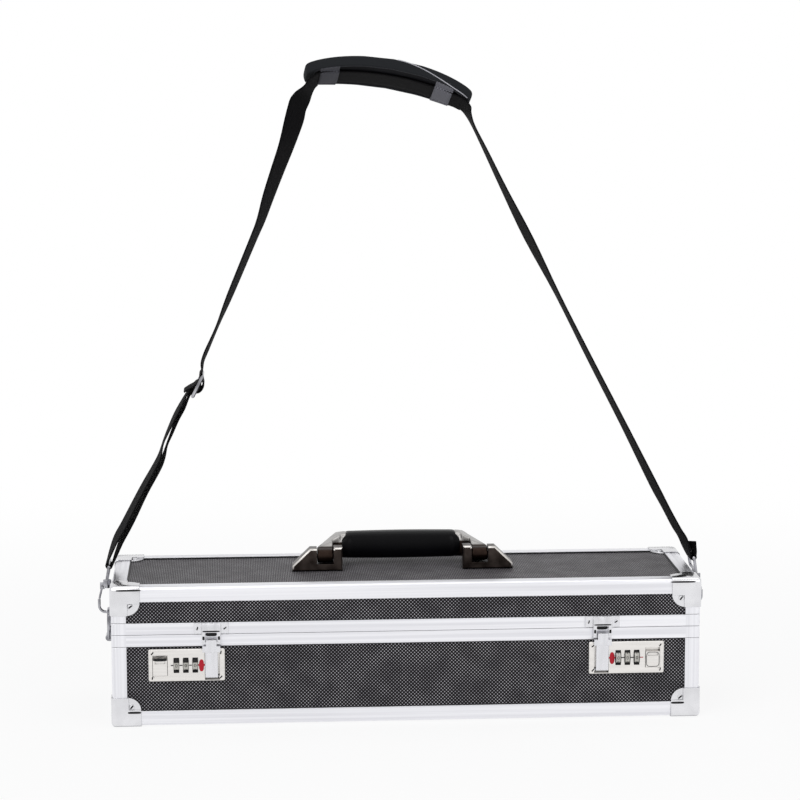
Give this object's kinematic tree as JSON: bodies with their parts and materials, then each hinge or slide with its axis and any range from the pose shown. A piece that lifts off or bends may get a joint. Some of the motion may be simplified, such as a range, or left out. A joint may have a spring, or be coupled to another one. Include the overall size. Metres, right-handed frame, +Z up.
{
  "type": "knife case",
  "caption": "Long narrow hard case: dark dotted panels in an aluminium rail frame, combination locks, a fold-down carry handle and a padded shoulder strap clipped to its ends.",
  "frame": {"origin": "middle of the footprint, on the surface that the closed case stands on", "axes": "+X along the case to its right end as seen from the locks, +Y to the back where the hinge is, +Z up"},
  "size_m": [0.4994, 0.1393, 0.5307],
  "materials": {
    "anodised_rail": "satin",
    "plated_cap": "satin",
    "dotted_panel": "matte",
    "foam": "matte",
    "satin_nickel": "satin",
    "dial_metal": "satin",
    "gunmetal": "satin",
    "grip_plastic": "satin",
    "chrome_hardware": "polished",
    "webbing": "matte",
    "pad_fabric": "matte"
  },
  "bodies": {
    "base": {"base_bottom_panel": "dotted_panel", "base_front_panel": "dotted_panel", "base_back_panel": "dotted_panel", "base_left_panel": "dotted_panel", "base_right_panel": "dotted_panel", "base_bottom_frame": "anodised_rail", "base_band_rail": "anodised_rail", "base_foam_tub": "foam", "base_cap_front_left": "plated_cap", "base_cap_front_right": "plated_cap", "base_cap_back_left": "plated_cap", "base_cap_back_right": "plated_cap", "hinge_leaf_base": "anodised_rail", "hinge_pin": "chrome_hardware", "lock_plate_left": "satin_nickel", "lock_plate_right": "satin_nickel", "ring_saddle_left": "chrome_hardware", "ring_saddle_right": "chrome_hardware"},
    "lid": {"lid_top_panel": "dotted_panel", "lid_front_panel": "dotted_panel", "lid_back_panel": "dotted_panel", "lid_left_panel": "dotted_panel", "lid_right_panel": "dotted_panel", "lid_top_frame": "anodised_rail", "lid_band_rail": "anodised_rail", "lid_foam_pad": "foam", "lid_cap_front_left": "plated_cap", "lid_cap_front_right": "plated_cap", "lid_cap_back_left": "plated_cap", "lid_cap_back_right": "plated_cap", "hinge_leaf_lid": "anodised_rail", "lock_keeper_left": "satin_nickel", "lock_keeper_right": "satin_nickel", "handle_bracket_left": "gunmetal", "handle_bracket_right": "gunmetal"},
    "handle": {"handle_arm_left": "gunmetal", "handle_arm_right": "gunmetal", "handle_grip": "grip_plastic"},
    "strap": {"strap_webbing": "webbing", "strap_adjuster": "chrome_hardware", "shoulder_pad": "pad_fabric", "swivel_eye_left": "chrome_hardware", "swivel_eye_right": "chrome_hardware"},
    "hasp_left": {"lock_hasp_left": "satin_nickel"},
    "button_left": {"lock_button_left": "satin_nickel"},
    "dial_left_1": {"lock_dial_left_1": "dial_metal"},
    "dial_left_2": {"lock_dial_left_2": "dial_metal"},
    "dial_left_3": {"lock_dial_left_3": "dial_metal"},
    "ring_left": {"end_ring_left": "chrome_hardware"},
    "hook_left": {"snap_hook_left": "chrome_hardware"},
    "gate_left": {"hook_gate_left": "chrome_hardware"},
    "hasp_right": {"lock_hasp_right": "satin_nickel"},
    "button_right": {"lock_button_right": "satin_nickel"},
    "dial_right_1": {"lock_dial_right_1": "dial_metal"},
    "dial_right_2": {"lock_dial_right_2": "dial_metal"},
    "dial_right_3": {"lock_dial_right_3": "dial_metal"},
    "ring_right": {"end_ring_right": "chrome_hardware"},
    "hook_right": {"snap_hook_right": "chrome_hardware"},
    "gate_right": {"hook_gate_right": "chrome_hardware"}
  },
  "joints": [
    {"name": "lid_hinge", "type": "hinge", "parent": "base", "child": "lid", "pos_m": [0, 0.0666, 0.0752], "axis": [-1, 0, 0], "range_deg": [0, 100], "deforming": ["strap_webbing"]},
    {"name": "handle_fold", "type": "hinge", "parent": "lid", "child": "handle", "pos_m": [0, 0, 0.1245], "axis": [1, 0, 0], "range_deg": [0, 90]},
    {"name": "strap_swing", "type": "hinge", "parent": "base", "child": "strap", "pos_m": [0, 0, 0.0801], "axis": [1, 0, 0], "range_deg": [-22, 22]},
    {"name": "hasp_left", "type": "hinge", "parent": "base", "child": "hasp_left", "pos_m": [-0.157, -0.0636, 0.0408], "axis": [1, 0, 0], "range_deg": [-4.5, 75], "stiffness_Nm_per_rad": 0.02},
    {"name": "button_left", "type": "slide", "parent": "base", "child": "button_left", "axis": [0, 0, 1], "range_m": [0, 0.003], "stiffness_N_per_m": 200},
    {"name": "dial_left_1", "type": "hinge", "parent": "base", "child": "dial_left_1", "pos_m": [-0.17, -0.0596, 0.0504], "axis": [1, 0, 0], "continuous": true},
    {"name": "dial_left_2", "type": "hinge", "parent": "base", "child": "dial_left_2", "pos_m": [-0.1775, -0.0596, 0.0504], "axis": [1, 0, 0], "continuous": true},
    {"name": "dial_left_3", "type": "hinge", "parent": "base", "child": "dial_left_3", "pos_m": [-0.185, -0.0596, 0.0504], "axis": [1, 0, 0], "continuous": true},
    {"name": "ring_left", "type": "hinge", "parent": "base", "child": "ring_left", "pos_m": [-0.241, 0, 0.06], "axis": [0, -1, 0], "range_deg": [0, 5]},
    {"name": "hook_left", "type": "hinge", "parent": "strap", "child": "hook_left", "pos_m": [-0.2418, 0, 0.1045], "axis": [0, 0, 1], "range_deg": [-10, 10]},
    {"name": "gate_left", "type": "hinge", "parent": "hook_left", "child": "gate_left", "pos_m": [-0.2462, 0, 0.1006], "axis": [0, -1, 0], "range_deg": [0, 25], "stiffness_Nm_per_rad": 0.02},
    {"name": "hasp_right", "type": "hinge", "parent": "base", "child": "hasp_right", "pos_m": [0.157, -0.0636, 0.0408], "axis": [1, 0, 0], "range_deg": [-4.5, 75], "stiffness_Nm_per_rad": 0.02},
    {"name": "button_right", "type": "slide", "parent": "base", "child": "button_right", "axis": [0, 0, 1], "range_m": [0, 0.003], "stiffness_N_per_m": 200},
    {"name": "dial_right_1", "type": "hinge", "parent": "base", "child": "dial_right_1", "pos_m": [0.17, -0.0596, 0.0504], "axis": [1, 0, 0], "continuous": true},
    {"name": "dial_right_2", "type": "hinge", "parent": "base", "child": "dial_right_2", "pos_m": [0.1775, -0.0596, 0.0504], "axis": [1, 0, 0], "continuous": true},
    {"name": "dial_right_3", "type": "hinge", "parent": "base", "child": "dial_right_3", "pos_m": [0.185, -0.0596, 0.0504], "axis": [1, 0, 0], "continuous": true},
    {"name": "ring_right", "type": "hinge", "parent": "base", "child": "ring_right", "pos_m": [0.241, 0, 0.06], "axis": [0, 1, 0], "range_deg": [0, 5]},
    {"name": "hook_right", "type": "hinge", "parent": "strap", "child": "hook_right", "pos_m": [0.2418, 0, 0.1045], "axis": [0, 0, 1], "range_deg": [-10, 10]},
    {"name": "gate_right", "type": "hinge", "parent": "hook_right", "child": "gate_right", "pos_m": [0.2462, 0, 0.1006], "axis": [0, 1, 0], "range_deg": [0, 25], "stiffness_Nm_per_rad": 0.02}
  ]
}
